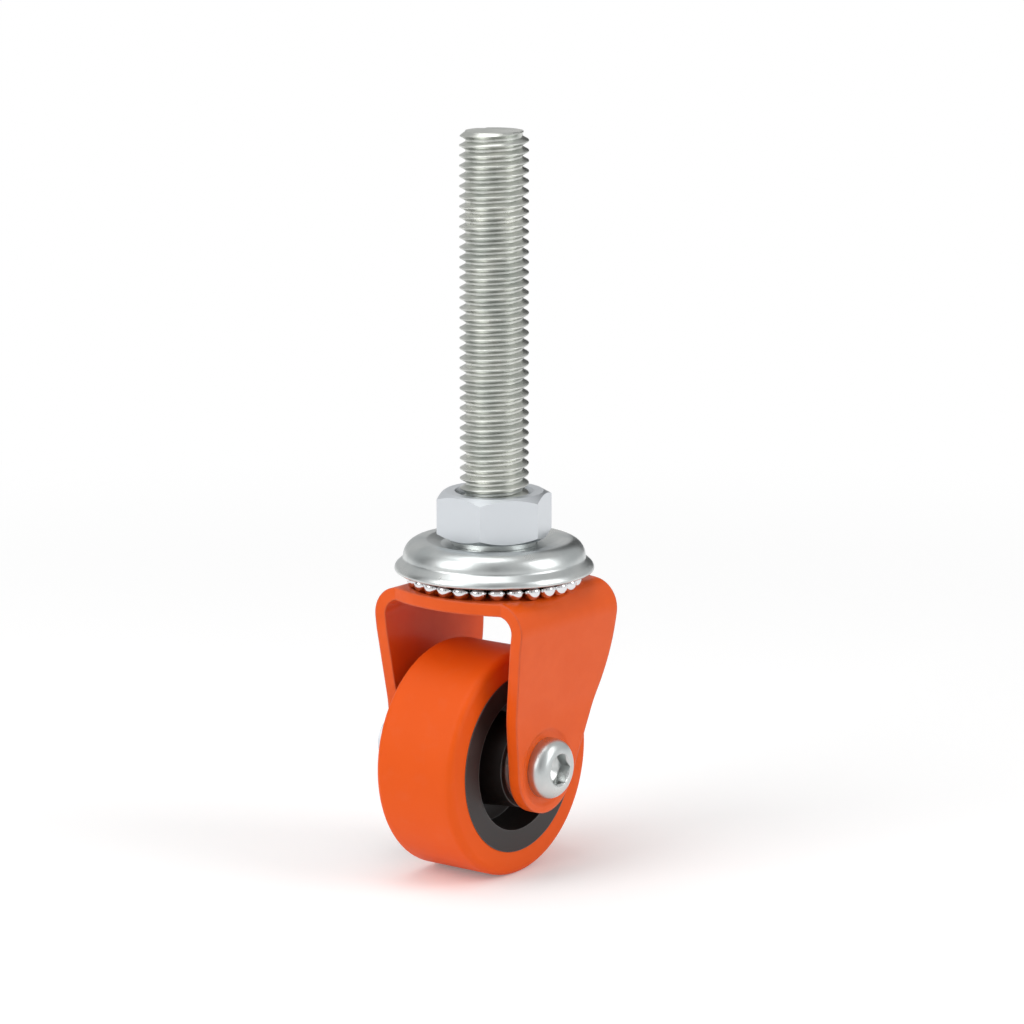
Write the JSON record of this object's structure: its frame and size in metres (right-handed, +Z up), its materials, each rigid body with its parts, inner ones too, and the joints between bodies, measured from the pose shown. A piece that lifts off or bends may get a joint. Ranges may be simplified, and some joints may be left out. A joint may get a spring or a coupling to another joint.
{
  "type": "levelling castor",
  "caption": "Small swivel castor on a long M12 levelling stem with a lock nut, folded orange fork and tyred wheel on ball bearings",
  "frame": {"origin": "on the stem's axis, in the plane of the seated lock nut's top face", "axes": "+Z up the stem, +Y along the axle from the bolt's head to its nut, wheel trails towards -X"},
  "size_m": [0.0409, 0.0387, 0.1292],
  "materials": {
    "stem_zinc": "bright zinc-plated, rolled thread",
    "nut_zinc": "bright zinc-plated",
    "cap_zinc": "zinc-plated pressing",
    "race_steel": "hardened, greased",
    "ball_steel": "polished",
    "washer_steel": "zinc-plated",
    "fork_paint": "orange powder coat, soft gloss",
    "bolt_zinc": "bright zinc-plated",
    "axle_nut_zinc": "bright zinc-plated",
    "insert_nylon": "nylon",
    "bearing_steel": "ground",
    "cage_nylon": "nylon",
    "shield_steel": "pressed",
    "spacer_steel": "turned",
    "hub_black": "moulded nylon",
    "tread_orange": "satin polyurethane"
  },
  "bodies": {
    "stem": {"threaded_stem": "stem_zinc", "swivel_cap": "cap_zinc", "swivel_race": "race_steel", "thrust_washer": "washer_steel", "retaining_washer": "washer_steel"},
    "lock_nut": {"lock_nut": "nut_zinc"},
    "race_balls": {"race_balls": "ball_steel"},
    "fork": {"fork": "fork_paint", "axle_bolt": "bolt_zinc", "axle_lock_nut": "axle_nut_zinc", "axle_nut_insert": "insert_nylon", "bearing_spacer": "spacer_steel", "head_side_spacer": "spacer_steel", "head_side_inner_ring": "bearing_steel", "nut_side_spacer": "spacer_steel", "nut_side_inner_ring": "bearing_steel"},
    "wheel": {"wheel_hub": "hub_black", "wheel_tread": "tread_orange", "head_side_outer_ring": "bearing_steel", "head_side_shields": "shield_steel", "nut_side_outer_ring": "bearing_steel", "nut_side_shields": "shield_steel"},
    "bearing_balls": {"head_side_bearing_balls": "ball_steel", "head_side_cage": "cage_nylon", "nut_side_bearing_balls": "ball_steel", "nut_side_cage": "cage_nylon"}
  },
  "joints": [
    {"name": "swivel", "type": "hinge", "parent": "stem", "child": "fork", "pos_m": [0, 0, 0], "axis": [0, 0, 1], "continuous": true},
    {"name": "race_ball_orbit", "type": "hinge", "parent": "stem", "child": "race_balls", "pos_m": [0, 0, 0], "axis": [0, 0, 1], "continuous": true},
    {"name": "wheel_spin", "type": "hinge", "parent": "fork", "child": "wheel", "pos_m": [-0.00354, 0, -0.0467], "axis": [0, 1, 0], "continuous": true},
    {"name": "bearing_ball_orbit", "type": "hinge", "parent": "fork", "child": "bearing_balls", "pos_m": [-0.00354, 0, -0.0467], "axis": [0, 1, 0], "continuous": true},
    {"name": "lock_nut_travel", "type": "slide", "parent": "stem", "child": "lock_nut", "axis": [0, 0, 1], "range_m": [0, 0.05]}
  ],
  "couplings": [
    {"joint": "race_ball_orbit", "follows": "swivel", "ratio": 0.5},
    {"joint": "bearing_ball_orbit", "follows": "wheel_spin", "ratio": 0.6053}
  ]
}
